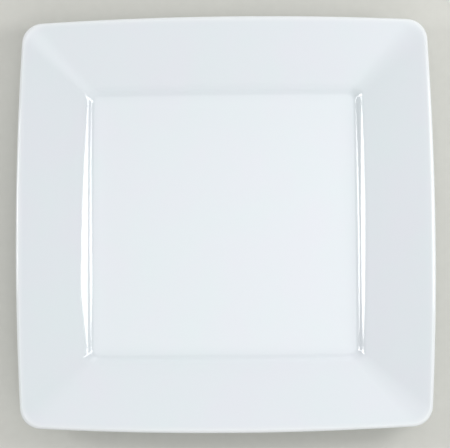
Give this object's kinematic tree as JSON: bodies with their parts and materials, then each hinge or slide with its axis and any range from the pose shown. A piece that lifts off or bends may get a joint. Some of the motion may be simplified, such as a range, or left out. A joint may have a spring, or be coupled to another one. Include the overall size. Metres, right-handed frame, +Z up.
{
  "type": "square dinner plate",
  "caption": "Square white porcelain dinner plate with gently bowed sides, a wide sloping rim, a flat sunken well and a square foot ring.",
  "frame": {"origin": "centre of the plate on the table plane, at the bottom of the foot ring", "axes": "+Z up out of the well, +X and +Y through the middles of two neighbouring sides"},
  "size_m": [0.27, 0.27, 0.0252],
  "materials": {
    "bare_porcelain": "fired bare, fine matte grain",
    "white_glaze": "high gloss, faintly blue white"
  },
  "bodies": {
    "root": {"porcelain_body": "bare_porcelain", "face_glaze": "white_glaze", "recess_glaze": "white_glaze"}
  },
  "joints": []
}
